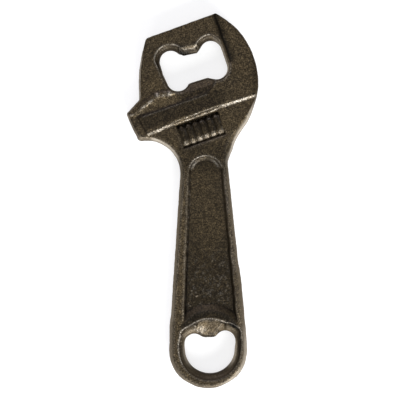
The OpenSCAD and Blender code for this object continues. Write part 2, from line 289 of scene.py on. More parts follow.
def noise(points, size, seed):
    """Smooth random values from -1 to 1, which change over about one size, in millimetres."""
    table = np.random.default_rng(seed).uniform(-1, 1, 8192)
    scaled = points / size
    base = np.floor(scaled).astype(np.int64)
    part = scaled - base
    part = part * part * (3 - 2 * part)
    total = np.zeros(len(points))
    for corner in product((0, 1), repeat=3):
        cell = base + corner
        key = cell[:, 0] * 73856093 ^ cell[:, 1] * 19349663 ^ cell[:, 2] * 83492791
        weight = np.where(corner, part, 1 - part).prod(axis=1)
        total += weight * table[key % len(table)]
    return total


def flat_noise(x, y, size, seed):
    points = np.stack([x, y, np.zeros_like(x)], axis=-1).reshape(-1, 3)
    return noise(points, size, seed).reshape(x.shape)


# ---------- outlines ----------


def casting_outline():
    """The outside of the casting at its middle plane, counter-clockwise from the waist."""
    lean = side_lean
    shoulder_at = (CREST_X - SHOULDER_R, CREST_Y)
    flank_top = arc(shoulder_at, SHOULDER_R, -FLANK_LEAN, 0, 2)[0]
    run_x, run_y = sin(radians(FLANK_LEAN)), cos(radians(FLANK_LEAN))
    run = (flank_top[0] - side_x(flank_top[1])) / (run_x + tan(lean) * run_y)
    flank_foot = (flank_top[0] - run * run_x, flank_top[1] - run * run_y)
    waist = (-side_x(WAIST_Y), WAIST_Y)
    left_fillet_at = (waist[0] - LEFT_FILLET_R * cos(lean), waist[1] + LEFT_FILLET_R * sin(lean))
    right_waist = (side_x(WAIST_Y), WAIST_Y)

    left_wall = arc(LEFT_WALL_AT, LEFT_WALL_R, LEFT_WALL_FROM, LEFT_WALL_TO, 12)
    top_edge_left = from_jaw([TOP_EDGE_LEFT])[0]
    turn = np.array(left_wall[1]) - np.array(left_wall[0])
    rise = np.array(tip) - np.array(top_edge_left)
    # The top edge and the left wall, carried on to where they cross.
    gap = np.array(top_edge_left) - np.array(left_wall[0])
    share = (gap[0] * rise[1] - gap[1] * rise[0]) / (turn[0] * rise[1] - turn[1] * rise[0])
    top_corner = np.array(left_wall[0]) + share * turn
    before_tip = arc(crescent_at, CRESCENT_R, tip_angle - 4, 0, 2)[0]

    return [
        *arc((0, 0), EYE_R, 180 - eye_touch, 360 + eye_touch, 72),
        SIDE_BEND,
        *rounded(right_waist, flank_foot, flank_top, RIGHT_FILLET_R, 16),
        *arc(shoulder_at, SHOULDER_R, -FLANK_LEAN, 0, 16),
        *arc(crescent_at, CRESCENT_R, 2, tip_angle - 2, 28),
        *rounded(before_tip, tip, top_edge_left, TIP_ROUND),
        *rounded(tip, top_corner, left_wall[1], TOP_CORNER_ROUND),
        *left_wall[1:-1],
        *rounded(left_wall[-2], JAW_NOTCH, JAW_CORNER, NOTCH_ROUND),
        *rounded(JAW_NOTCH, JAW_CORNER, JAW_HEEL, JAW_CORNER_ROUND),
        *rounded(JAW_CORNER, JAW_HEEL, (left_fillet_at[0], JAW_FOOT_Y), HEEL_ROUND),
        *arc(left_fillet_at, LEFT_FILLET_R, 90, -degrees(lean), 24),
        (-SIDE_BEND[0], SIDE_BEND[1]),
    ]


def window_distance(s, t):
    """Distance from the cap window's edge at the middle plane, negative in the hole."""

    def on_lobe(i, angle):
        return arc(LOBES[i], LOBE_R, angle, angle, 1)[0]

    leave = [on_lobe(i, angle) for i, angle in enumerate(LEAVE_ANGLES)]
    core = [
        on_lobe(0, 180),
        LOBES[0],
        leave[0],
        *rounded(leave[0], UPPER_TOOTH[0], UPPER_TOOTH[1], TOOTH_ROUND),
        *rounded(UPPER_TOOTH[0], UPPER_TOOTH[1], leave[1], TOOTH_ROUND),
        leave[1],
        LOBES[1],
        on_lobe(1, 0),
        on_lobe(2, 0),
        LOBES[2],
        leave[2],
        *rounded(leave[2], LOWER_TOOTH[0], LOWER_TOOTH[1], TOOTH_ROUND),
        *rounded(LOWER_TOOTH[0], LOWER_TOOTH[1], leave[3], TOOTH_ROUND),
        leave[3],
        LOBES[3],
        on_lobe(3, 180),
        (LOBES[0][0] - LOBE_R - 0.25, 1),
    ]
    distance = outline_distance(s, t, core)
    for centre in LOBES:
        distance = np.minimum(distance, circle_distance(s, t, centre, LOBE_R))
    return distance


def band_outline():
    """The lower jaw: the band above the bar, and the strip around the bar's left end."""
    return [
        (-40, BAR_BOTTOM - 6),
        (-27.8, BAR_BOTTOM - 6),
        BAR_END[1],
        BAR_END[0],
        (1.4, BAR_TOP),
        (-5.4, -5),
        *CREST_LINE,
        (-40, CREST_LINE[-1][1]),
    ]


def cap_tooth_outline():
    return [(-9.5, BAR_TOP), (1.4, BAR_TOP), (4.2, -11.9), (6.6, -9.6), (6.6, -5), (-9.5, -5)]


def upper_jaw_outline():
    return [
        (CREASE, LOBES[2][1]),
        (CREASE, 60),
        (-60, 60),
        (-60, BAR_TOP),
        (LOBES[3][0], BAR_TOP),
        (LOBES[3][0], 0),
        (LOBES[1][0], LOBES[2][1]),
    ]


def panel_outline():
    foot_left, foot_right = PANEL_FOOT_X
    return [
        (foot_left, PANEL_FOOT_Y),
        (foot_right, PANEL_FOOT_Y),
        *arc(PANEL_TOP_AT, PANEL_TOP_R, 10, 170, 32),
    ]


# ---------- the map of the half thickness ----------


def rail_height(y):
    """The handle's faces fall from the eye to the waist."""
    return mix(FULL, WAIST, fade(y, 14, WAIST_Y + 10) * 0.5 + np.clip((y - 20) / 62.6, 0, 1) * 0.5)


def wall_profile(depth, top, foot, points):
    """The height over a wall, from its top edge inwards, as shares of its drop."""
    runs, drops = zip(*points)
    return top - (top - foot) * np.interp(depth, runs, drops)


def head_height(x, y, s, t):
    """The levels of the head above the bar's lower edge."""
    ragged = 0.22 * flat_noise(x, y, 1.9, 11)
    height = np.full(x.shape, FULL)

    jaw = outline_distance(s, t, upper_jaw_outline()) + 0.5 * ragged
    # The crescent rolls off towards the crease, which has a thin groove at its foot.
    rolled = np.interp(-jaw, [-3, -0.7, 0.2], [FULL, FULL - 0.3, UPPER_JAW])
    groove = 0.35 * peak(-jaw - 0.45, 0.35)
    plain = mix(FULL, UPPER_JAW, fade(-jaw, -0.2, 0.7))
    height = mix(plain, rolled - groove, fade(s, 10, 14) * fade(t, -8, 2))

    band = outline_distance(s, t, band_outline()) + 0.5 * ragged
    over_crest = t - line_height(s, CREST_LINE)
    level = mix(LOWER_JAW - 0.2, LOWER_JAW + 0.15, fade(over_crest, -3, -0.8))
    level = level + ragged * fade(over_crest, -4, -1)
    for knob in CREST_KNOBS:
        level = level + 0.35 * peak(circle_distance(s, t, knob, 0), 0.8)
    band_edge = mix(0, -1, fade(over_crest, -1, 0))
    height = mix(height, level, fade(-band, band_edge, band_edge + 0.9))
    bar_end = peak(-band - 0.4, 0.35) * fade(-24 - s, 0, 2) * fade(-9 - t, 0, 3)
    height = height - 0.3 * bar_end

    # The cap tooth is steep and smooth at its edge, and flatter towards the bar.
    tooth = outline_distance(s, t, cap_tooth_outline())
    ramp = np.interp(LOWER_TOOTH[0][1] - t, [0, 3.4, 5.9], [TOOTH_TIP, 3.55, FULL - 0.35])
    return mix(height, np.minimum(ramp, height), fade(-tooth, 0, 0.6) * fade(s, -9.5, -4))


def upper_tooth_ramp(s, t):
    """The bevel under the upper tooth: a thin land at its edge, and then a rough ramp."""
    (left, left_t), (right, right_t) = UPPER_TOOTH
    edge = mix(left_t, right_t, np.clip((s - left) / (right - left), 0, 1))
    height = np.interp(t - edge, [0, 0.9, 1.2, 3.3], [1.5, 2.0, 2.1, UPPER_JAW])
    beside = np.maximum(left - 0.6 - s, s - right - 0.4)
    return height + 4 * np.clip(beside, 0, None) + np.where(t < edge - 3, 9, 0)


def rib_place(s):
    """How far a place lies along the worm, and where in its rib, from -0.5 to 0.5."""
    run = s - POCKET_AT[0] + WORM_RIBS * WORM_PITCH / 2
    return run, np.mod(run, WORM_PITCH) / WORM_PITCH - 0.5


def worm_height(s, t):
    """The ribbed worm, half of a round bar that lies along the jaws."""
    run, place = rib_place(s)
    rib = np.clip(1 - (2.15 * place) ** 4, 0, 1) ** 0.5
    # The ribs' upper ends are round in plan, and their lower ends stand in a row.
    rise = t - POCKET_AT[1]
    reach = WORM_R + 0.45 - np.where(rise > 0, 1.3 * (2 * place) ** 2, 0.3 * (1 - rib))
    crown = np.clip(1 - (np.abs(rise) / reach) ** 3, 0, 1) ** 0.5
    level = POCKET_WEB + (WORM_R - 0.3 - POCKET_WEB) * crown - WORM_GROOVE * (1 - rib) * crown
    beside = WORM_R - 1.1
    return np.where((run > 0) & (run < WORM_RIBS * WORM_PITCH), level, beside)


def above_worm(s):
    """1 where the foot of the bar passes the worm, and 0 to both sides of it."""
    return fade(s, -19, -15) * (1 - fade(s, 3, 6))


def bar_share(s, t, ragged):
    """1 on the head, falling to 0 on the plate. Above the worm, a ledge splits the step."""
    depth = line_height(s, BAR_FOOT) + BAR_STEP - t + 0.12 * ragged
    plain = wall_profile(depth, 1, 0, [(0.4, 0), (1.5, 1)])
    ledged = wall_profile(depth, 1, 0, [(0, 0), (0.5, 0.45), (1.15, 0.5), (BAR_STEP, 1)])
    return mix(plain, ledged, above_worm(s))


def with_pocket(s, t, height):
    """The height with the worm's pocket sunk into it."""
    half_s, half_t = POCKET[0] / 2, POCKET[1] / 2
    pocket = np.maximum(np.abs(s - POCKET_AT[0]) - half_s, np.abs(t - POCKET_AT[1]) - half_t)
    worm = np.maximum(POCKET_WEB, worm_height(s, t))
    return mix(height, worm, fade(-pocket, -0.15, 0.4))


def panel_height(x, y, rail, ragged):
    """The hollow panel of the handle, with a ledge in the wall of its round top."""
    depth = -outline_distance(x, y, panel_outline()) + 0.22 * ragged * fade(WAIST_Y - y, -4, 6)
    steep = wall_profile(depth, rail, PANEL, [(0, 0), (0.8, 1)])
    gentle = wall_profile(depth, rail, PANEL, [(0, 0), (0.2, 0.1), (1.0, 0.9), (1.3, 1)])
    side = mix(gentle, steep, fade(x, -2, 2))
    top = wall_profile(depth, rail, PANEL, [(0, 0), (0.35, 0.3), (0.95, 0.4), (1.9, 1)])
    inner = mix(side, top, fade(y, PANEL_TOP_AT[1] + 1, PANEL_TOP_AT[1] + 3))
    boss = circle_distance(x, y, BOSS_AT, BOSS_R - BOSS_SLOPE) / BOSS_SLOPE
    inner = np.maximum(inner, mix(rail, PANEL, np.clip(boss, 0, 1)))
    return np.where(depth > 0, inner, np.inf)


def lip_ramp(x, y):
    """The bevel of the eye's lip, from its thin tip up to its root."""
    height = np.interp(y, [LIP_Y, LIP_ROOT_Y - 0.8, LIP_ROOT_Y], [LIP_TIP, FULL - 0.7, FULL])
    # Beside the lip the bevel rises out of the way, nearer to it on the left.
    beside = 1.2 * np.maximum(x - LIP_X - 6.8, LIP_X - x - 4.5)
    return np.where(y > 0, height + np.clip(beside, 0, None), np.inf)


def half_thickness(x, y):
    """The half thickness of the casting, without its outer walls."""
    s, t = to_jaw(x, y)
    rail = rail_height(y)
    ragged = flat_noise(x, y, 1.6, 5)
    height = mix(rail, head_height(x, y, s, t), bar_share(s, t, ragged))
    # Left of the bar's end, the lower jaw runs on down to its foot.
    heel = outline_distance(s, t, band_outline()[:4] + [(-40, BAR_TOP)])
    heel_height = mix(rail, LOWER_JAW, fade(-heel, 0, 0.6))
    height = np.where(t < BAR_TOP, np.maximum(height, heel_height), height)
    height = with_pocket(s, t, height)
    height = np.minimum(height, panel_height(x, y, rail, ragged))
    height = np.minimum(height, upper_tooth_ramp(s, t))
    return np.minimum(height, lip_ramp(x, y))


def outer_spread(x, y):
    """How far the outer walls spread past the drawn outline at the middle plane."""
    flank = fade(y, 79, 86) * fade(106 - y, 0, 10) * fade(x, 4, 9)
    ring_sides = fade(np.abs(x), 7, 12) * fade(18 - y, 0, 8) * fade(y, -15, -11)
    right_side = fade(x, 8, 11) * fade(y, 12, 18) * fade(40 - y, 0, 10)
    left_wall = fade(-x, 18, 22) * fade(y, 92, 94) * fade(130 - y, 0, 6)
    top = fade(y, 118, 126) * fade(16 - x, 0, 6)
    return 0.08 + 1.25 * flank + 0.45 * ring_sides + 0.35 * right_side + 0.25 * left_wall - 0.2 * top


def blurred(field, sigma):
    """A Gaussian blur, with sigma in cells of the map."""
    reach = int(3 * sigma) + 1
    kernel = np.exp(-0.5 * (np.arange(-reach, reach + 1) / sigma) ** 2)
    kernel /= kernel.sum()
    for axis in (0, 1):
        padded = np.pad(field, [(reach, reach) if a == axis else (0, 0) for a in (0, 1)], "edge")
        size = field.shape[axis]
        field = sum(k * np.take(padded, range(i, i + size), axis) for i, k in enumerate(kernel))
    return field


# ---------- the casting as a field ----------


def wall_of(heights, runs, z, height):
    """A function for the distance to a wall that runs out as it rises to its rim."""
    share = z / height
    profile = np.interp(share, heights, runs)
    steepness = np.interp(share, heights, np.gradient(runs, heights)) / height

    def wall(distance, run):
        return (distance + run * profile) / np.sqrt(1 + (run * steepness) ** 2)

    return wall


def holes(wall, window, window_run, x, y):
    """The distance into the window, and into the eye with its corners and lip."""
    eye = wall(-circle_distance(x, y, HOLE_AT, HOLE_R), EYE_RUN)
    eye = smooth_min(eye, wall(LIP_Y - y, LIP_RUN), 1.2)
    # The corners' walls are widest at the top, and narrow beside the lip.
    high = fade(y, 5, 9)
    left_run = mix(mix(EYE_RUN, CORNER_RUN, high), LIP_RUN, fade(x, -6, -2))
    right_run = mix(mix(EYE_RUN, CORNER_RUN, high), LIP_RUN, fade(-x, -7, -3.5))
    left = wall(-circle_distance(x, y, HOLE_LEFT_AT, HOLE_LEFT_R), left_run)
    right = wall(-circle_distance(x, y, HOLE_RIGHT_AT, HOLE_RIGHT_R), right_run)
    eye = smooth_max(eye, smooth_max(left, right, 0.8), 1.2)
    return smooth_max(wall(-window, window_run), eye, 0.4)


def past_rim(maps, x, y):
    """How far a point lies outside the rims of the holes, seen in plan, with the lip left out."""
    window = maps[1] - maps[2]
    eye = circle_distance(x, y, HOLE_AT, HOLE_R + EYE_RUN)
    for centre, radius in ((HOLE_LEFT_AT, HOLE_LEFT_R), (HOLE_RIGHT_AT, HOLE_RIGHT_R)):
        run = mix(EYE_RUN, CORNER_RUN, fade(y, 5, 9))
        eye = smooth_min(eye, circle_distance(x, y, centre, radius + run), 0.8)
    return np.minimum(window, eye)


class Casting:
    """The flat maps, and the field that is negative inside the casting."""

    def __init__(self):
        self.low = np.array([JAW_CORNER[0] - MARGIN, -EYE_R - MARGIN])
        high = np.array([CREST_X + MARGIN, TIP_Y + MARGIN])
        count = 2 * np.ceil((high - self.low) / CELL).astype(int) + 1
        lines = [self.low[i] + MAP_STEP * np.arange(count[i]) for i in (0, 1)]
        x, y = np.meshgrid(*lines, indexing="ij")
        s, t = to_jaw(x, y)
        spread = outer_spread(x, y)
        wavy = 0.07 * flat_noise(x, y, 3.1, 21) + 0.05 * flat_noise(x, y, 1.1, 22)
        lean = fade(t, 2, 9) * (1 - fade(s, 11, 14))
        self.maps = np.stack(
            [
                outline_distance(x, y, casting_outline()) + wavy - spread,
                window_distance(s, t) + 0.6 * wavy,
                mix(WINDOW_RUN, TOP_LOBE_RUN, lean),
                blurred(half_thickness(x, y), 1.3),
                mix(OUTER_RUN, HEAD_RUN, fade(y, 90, 97)) + spread,
            ]
        )

    def flat(self, x, y):
        """The five maps at any point, by bilinear interpolation."""
        column, row = (x - self.low[0]) / MAP_STEP, (y - self.low[1]) / MAP_STEP
        i = np.clip(column.astype(int), 0, self.maps.shape[1] - 2)
        j = np.clip(row.astype(int), 0, self.maps.shape[2] - 2)
        across, up = column - i, row - j
        near = mix(self.maps[:, i, j], self.maps[:, i + 1, j], across)
        far = mix(self.maps[:, i, j + 1], self.maps[:, i + 1, j + 1], across)
        return mix(near, far, up)

    def field(self, maps, x, y, z):
        """Negative inside the casting, where the maps have these values."""
        outer, window, window_run, height, outer_run = maps
        z = np.abs(z)
        outer_wall = wall_of(OUTER_HEIGHTS, OUTER_RUNS, z, height)
        hole_wall = wall_of(HOLE_HEIGHTS, HOLE_RUNS, z, height)
        solid = smooth_max(outer_wall(outer, outer_run), z - height, 0.45)
        return smooth_max(solid, holes(hole_wall, window, window_run, x, y), 0.35)

    def at(self, points):
        """The field at any points."""
        x, y, z = points.T
        return self.field(self.flat(x, y), x, y, z)

    def slope(self, points):
        """The field's gradient, from small steps to both sides."""
        step = 0.04
        sides = []
        for axis in np.eye(3) * step:
            sides.append((self.at(points + axis) - self.at(points - axis)) / (2 * step))
        return np.stack(sides, axis=1)

    def grid(self):
        """The field at the corners of the mesh's cells, and the place of the first one."""
        maps = self.maps[:, ::2, ::2]
        layers = int(np.ceil(CAD_HALF / CELL)) + 1
        z = CELL * np.arange(-layers, layers + 1)
        x = self.low[0] + CELL * np.arange(maps.shape[1])
        y = self.low[1] + CELL * np.arange(maps.shape[2])
        x, y, z = x[:, None, None], y[None, :, None], z[None, None, :]
        origin = np.array([self.low[0], self.low[1], z[0, 0, 0]])
        return self.field(maps[..., None], x, y, z), origin


def crossed_cells(inside):
    """The places of the cells that the surface passes through, and a number for each."""
    cells = np.array(inside.shape) - 1
    corners = np.zeros(cells, int)
    for i, j, k in product((0, 1), repeat=3):
        corners += inside[i : i + cells[0], j : j + cells[1], k : k + cells[2]]
    crossed = (corners > 0) & (corners < 8)
    place = np.argwhere(crossed)
    number = np.full(cells, -1)
    number[crossed] = np.arange(len(place))
    return place, number


def net_vertices(field, place):
    """One vertex in each crossed cell, in the middle of where the surface cuts its edges."""
    total = np.zeros((len(place), 3))
    count = np.zeros(len(place))
    for axis in range(3):
        step = np.eye(3, dtype=int)[axis]
        for offset in product((0, 1), repeat=3):
            if offset[axis]:
                continue
            start = place + offset
            a, b = field[tuple(start.T)], field[tuple((start + step).T)]
            cut = (a < 0) != (b < 0)
            along = np.where(cut, a / np.where(cut, a - b, 1), 0)
            total += np.where(cut[:, None], start + along[:, None] * step, 0)
            count += cut
    return total / count[:, None]


def net_faces(inside, number):
    """One face round each crossed edge, which looks out of the casting."""
    faces = []
    step = np.eye(3, dtype=int)
    for axis in range(3):
        second, third = (axis + 1) % 3, (axis + 2) % 3
        size = np.array(inside.shape)
        size[axis] -= 1
        here = inside[tuple(slice(0, n) for n in size)]
        beyond = inside[tuple(slice(int(i == axis), int(i == axis) + n) for i, n in enumerate(size))]
        edge = np.argwhere(here != beyond)
        ring = [edge, edge - step[second], edge - step[second] - step[third], edge - step[third]]
        quad = np.stack([number[tuple(cell.T)] for cell in ring], axis=1)
        leaves = here[tuple(edge.T)]
        faces.append(np.where(leaves[:, None], quad, quad[:, ::-1]))
    return np.concatenate(faces)


def surface_net(field):
    """The surface's vertices and faces, and the number of each vertex's mirror image."""
    inside = field < 0
    place, number = crossed_cells(inside)
    mirror = number[place[:, 0], place[:, 1], number.shape[2] - 1 - place[:, 2]]
    return net_vertices(field, place), net_faces(inside, number), mirror


def normals_of(points, faces):
    """Vertex normals, weighted by the area of the faces around each vertex."""
    across = points[faces[:, 2]] - points[faces[:, 0]]
    up = points[faces[:, 3]] - points[faces[:, 1]]
    flat = np.cross(across, up)
    normals = np.zeros_like(points)
    for corner in range(4):
        np.add.at(normals, faces[:, corner], flat)
    return normals / np.linalg.norm(normals, axis=1)[:, None]


def neighbour_mean(values, faces):
    """The mean of each vertex's neighbours along the faces' edges."""
    total = np.zeros_like(values)
    count = np.zeros(len(values))
    for corner in range(4):
        a, b = faces[:, corner], faces[:, (corner + 1) % 4]
        np.add.at(total, a, values[b])
        np.add.at(total, b, values[a])
        np.add.at(count, a, 1)
        np.add.at(count, b, 1)
    return total / (count[:, None] if values.ndim > 1 else count)


def cast_grain(points, normals):
    """How far the sand of the mould moves the surface, in millimetres."""
    x, y, z = points.T
    # The faces keep the grain, and the drafted walls come out of the sand smoother.
    level = fade(np.abs(normals[:, 2]), 0.8, 0.97)
    grain = 0.035 * noise(points, 0.7, 1) + 0.03 * noise(points, 1.25, 2)
    swell = 0.05 * noise(points, 5.2, 3) + 0.03 * noise(points, 2.6, 4)
    in_panel = fade(-outline_distance(x, y, panel_outline()), 0, 1)
    pitted = mix(0.15, 1, fade(52 - y, 0, 20) * in_panel)
    small_pits = np.clip(noise(points, 0.9, 7) - 0.3, 0, None)
    pits = np.clip(noise(points, 1.5, 6) - 0.25, 0, None) + 0.5 * small_pits
    return grain * mix(0.35, 1, level) + swell - 0.3 * pits * pitted * level


# ---------- pieces ----------


def inside_of(outline):
    return lambda x, y: outline_distance(x, y, outline) < 0


def regions():
    """Which part of the plan belongs to which CAD node. The first that holds a point owns it."""
    half_s, half_t = POCKET[0] / 2, POCKET[1] / 2
    s, t = POCKET_AT
    corners = ((-1, -1), (1, -1), (1, 1), (-1, 1))
    pocket = [(s + right * half_s, t + up * half_t) for right, up in corners]
    lip = [
        (HOLE_LEFT_AT[0], LIP_Y - 2),
        (HOLE_RIGHT_AT[0], LIP_Y - 2),
        *arc(HOLE_AT, HOLE_R + 2.4, 60, 119, 16),
    ]
    above_bar = [(-60, BAR_BOTTOM), (60, BAR_BOTTOM), (60, 60), (-60, 60)]
    return {
        "worm": inside_of(from_jaw(pocket)),
        "eye_lip": inside_of(lip),
        "hang_eye": lambda x, y: (y < EYE_TOP_Y) | (circle_distance(x, y, BOSS_AT, BOSS_R) < 0),
        "cap_tooth": inside_of(from_jaw(cap_tooth_outline())),
        "lower_jaw": inside_of(from_jaw(band_outline())),
        "upper_jaw": inside_of(from_jaw(upper_jaw_outline())),
        "crescent": inside_of(from_jaw(above_bar)),
        "handle": lambda x, y: np.ones(x.shape, bool),
    }


def owners(points, faces):
    """The number of the region that each face belongs to, judged by its middle."""
    middle = np.round(points[faces].mean(axis=1), 3)
    owner = np.full(len(faces), -1)
    for number, test in enumerate(regions().values()):
        owner[(owner < 0) & test(middle[:, 0], middle[:, 1])] = number
    return owner


def closing_faces(faces, mirror, upper):
    """Upright faces that close a piece along its seams, from the upper face to the lower one."""
    starts = faces.ravel()
    ends = np.roll(faces, -1, axis=1).ravel()
    edges = set(zip(starts.tolist(), ends.tolist()))
    closing = []
    for a, b in edges:
        if (b, a) not in edges and upper[a] and upper[b]:
            closing.append((b, a, mirror[a], mirror[b]))
    return closing


def make_piece(name, points, faces, normals, marks, material):
    """One mesh object from a piece's own faces, with the casting's normals and marks."""
    used = np.unique(faces)
    renumber = np.full(len(points), -1)
    renumber[used] = np.arange(len(used))
    mesh = bpy.data.meshes.new(name)
    mesh.from_pydata(points[used].tolist(), [], renumber[faces].tolist())
    for mark, values in marks.items():
        layer = mesh.attributes.new(mark, "FLOAT", "POINT")
        layer.data.foreach_set("value", values[used].astype(np.float32))
    mesh.shade_smooth()
    mesh.normals_split_custom_set_from_vertices(normals[used].tolist())
    mesh.materials.append(material)
    piece = bpy.data.objects.new(name, mesh)
    bpy.context.scene.collection.objects.link(piece)
    return piece


def onto_surface(casting, points):
    """Moves the net's vertices onto the surface, in three small steps."""
    for _ in range(3):
        slope = casting.slope(points)
        steepness = np.maximum((slope**2).sum(axis=1), 0.2)
        move = casting.at(points) / steepness
        points = points - np.clip(move, -0.15, 0.15)[:, None] * slope
    return points


def in_frame(points):
    """From the drawing to the CAD's frame, in metres, and no further out than its box."""
    drawing_low = np.array([JAW_CORNER[0], -EYE_R, -CAD_HALF])
    placed = np.array(cad_low) + (points - drawing_low) * MM
    return np.clip(placed, np.array(cad_low), np.array(cad_high))


def cast_opener(material):
    """Meshes the casting, and parts it into a piece for each CAD node."""
    casting = Casting()
    field, origin = casting.grid()
    points, faces, mirror = surface_net(field)
    upper = points[:, 2] > (field.shape[2] - 1) / 2
    shape = onto_surface(casting, origin + CELL * points)
    owner = owners(shape, faces)

    slope = casting.slope(shape)
    smooth_normals = slope / np.linalg.norm(slope, axis=1)[:, None]
    grainy = shape + cast_grain(shape, smooth_normals)[:, None] * smooth_normals
    normals = normals_of(grainy, faces)
    placed = in_frame(grainy)
    maps = casting.flat(shape[:, 0], shape[:, 1])
    rim = past_rim(maps, shape[:, 0], shape[:, 1])
    marks = surface_marks(shape, smooth_normals, faces, rim, maps[0])

    for number, node in enumerate(regions()):
        own = faces[owner == number]
        closed = np.concatenate([own, np.array(closing_faces(own, mirror, upper)).reshape(-1, 4)])
        piece = make_piece("cast_" + node, placed, closed.astype(int), normals, marks, material)
        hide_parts(node)
        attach(piece, "root")


# ---------- marks for the material ----------


def near_eye(y):
    """1 around the eye and its boss, and 0 on the rest of the opener."""
    return fade(20 - y, 0, 2)


def lip_glint(x, y, size):
    """A painted highlight: a long bright spot on the lip."""
    return peak(np.hypot((x - LIP_GLINT_AT[0]) / 1.5, y - LIP_GLINT_AT[1]), size)


def handle_light_and_shade(x, y):
    """Painted light and shade on the handle: light rails on the left, and a dark neck, panel, boss and
    lower ring.
    """
    depth = -outline_distance(x, y, panel_outline())
    panel = fade(depth, 0, 1)
    boss = circle_distance(x, y, BOSS_AT, BOSS_R)
    light_and_shade = 0.15 * span(y, 10, 18, 70, 78) * (1 - panel) * fade(-x, -2, 2)
    light_and_shade -= 0.3 * span(depth, 0, 0.2, 1.1, 1.4) * fade(-x, 2, 5) * fade(y, 12, 16)
    light_and_shade -= 0.35 * span(y, 72, 80, 86, 90) * fade(12 - np.abs(x), 0, 2)
    light_and_shade -= (0.18 + 0.4 * fade(60 - y, 0, 30)) * panel * fade(boss, -1, 0.5)
    light_and_shade -= 0.3 * peak(boss + BOSS_SLOPE / 2, 1.4) * panel
    above_rim = fade(circle_distance(x, y, HOLE_AT, HOLE_R + EYE_RUN + 0.3), 0, 0.5)
    light_and_shade -= 0.72 * above_rim * fade(-BOSS_SLOPE - boss, -0.8, 0.5) * fade(y, 8, 11)
    return light_and_shade - 0.2 * fade(-2 - y, 0, 6) * fade(EYE_R - 2.6 - np.hypot(x, y), -1, 0.5)


def head_light_and_shade(x, y, s, t):
    """Painted light and shade on the head: a light band on the lower jaw, and a dark bar, cap tooth,
    worm, crease and crescent's edge.
    """
    bar = span(t, BAR_BOTTOM + 1, BAR_BOTTOM + 2, BAR_TOP - 0.3, BAR_TOP + 0.3)
    light_and_shade = -0.47 * bar * span(s, -28.6, -27.6, 4, 12)
    jaw = fade(-outline_distance(s, t, band_outline()), 0, 1)
    light_and_shade += 0.35 * jaw * fade(t, BAR_TOP, BAR_TOP + 1) * fade(-9 - s, 0, 3)
    tooth = fade(-outline_distance(s, t, cap_tooth_outline()), 0, 0.5)
    light_and_shade -= tooth * (0.04 + 0.35 * fade(-9.6 - t, 0, 1.2) * fade(4 - s, 0, 2))
    worm = fade(POCKET[0] / 2 - np.abs(s - POCKET_AT[0]), 0, 0.5)
    light_and_shade -= 0.42 * worm * fade(t, POCKET_AT[1] - 3, POCKET_AT[1] - 2) * fade(-21.7 - t, 0, 0.5)
    light_and_shade -= 0.7 * span(s, CREASE - 0.6, CREASE, CREASE + 0.3, CREASE + 3.6) * fade(t, -6, -2)
    light_and_shade -= 0.35 * peak(circle_distance(x, y, SHADED_SPOT, 0), SHADED_SPOT_R)
    return light_and_shade - 0.3 * fade(x, 20, 22) * fade(y, 100, 106)


def window_light_and_shade(s, t):
    """Painted shade on the shelves in the window's upper corners and under its tooth, and painted
    light on its right wall.
    """
    window = window_distance(s, t)
    on_wall = fade(1.6 - window, 0, 0.4)
    light_and_shade = -0.55 * on_wall * fade(t, 1, 4) * fade(12 - s, 0, 1.5)
    light_and_shade += 0.7 * on_wall * fade(s, 10, 12) * fade(6 - t, 0, 3)
    under_tooth = fade(3.8 - window, 0, 0.6) * fade(t, 3.5, 5)
    return light_and_shade - 0.4 * under_tooth * fade(4.6 - np.abs(s - 0.5), 0, 0.8) * fade(1.5 - s, -1, 3)


def eye_light_and_shade(x, y, rim):
    """Painted light and shade round the eye: its wall darker beside its rim and lighter down its sides
    and on its right, and its lip, which is mottled, darker on the right and given a painted highlight.
    """
    beside_rim = span(-rim, 0, 0.4, 0.6, 2.6) * fade(y, -6, 0) * near_eye(y)
    on_lip = fade(5.6 - np.abs(x - LIP_X - 1.2), 0, 1.5) * fade(y, 4.5, 6) * near_eye(y)
    light_and_shade = -0.6 * beside_rim * (1 - 0.7 * on_lip)
    light_and_shade += 0.3 * fade(-rim, 1.2, 2) * span(y, -8, -2, 3, 7) * (1 - on_lip)
    on_lip = on_lip * fade(-rim, -0.2, 0.3)
    light_and_shade += on_lip * (0.4 * flat_noise(x, y, 1.2, 41) - 0.35 * fade(x, -1.5, 1))
    light_and_shade += 0.7 * lip_glint(x, y, 1.1)
    on_wall = fade(-circle_distance(x, y, HOLE_AT, HOLE_R + EYE_RUN - 0.7), 0, 0.8)
    return light_and_shade + 0.7 * on_wall * fade(x, 7, 9) * fade(y, -9, -5)


def light_and_shade_of(x, y, rim):
    """How light the iron is: shares that were set to follow the photograph."""
    s, t = to_jaw(x, y)
    # Painted light and shade from the handle, the head, the window and the eye.
    return 1 + handle_light_and_shade(x, y) + head_light_and_shade(x, y, s, t) + window_light_and_shade(s, t) + eye_light_and_shade(x, y, rim)


def step_highlight(s, t, beads):
    """A painted highlight on the step at the foot of the bar: one broad bright edge, split in two
    above the worm.
    """
    step = line_height(s, BAR_FOOT) + BAR_STEP - t
    broad = peak(step - 0.9, 0.5) * (0.45 + 0.6 * beads)
    split = np.maximum(peak(step - 0.35, 0.2), 0.8 * peak(step - 1.45, 0.2)) * (0.3 + 0.6 * beads)
    return mix(broad, split, above_worm(s)) * fade(s, -28.4, -27.6)


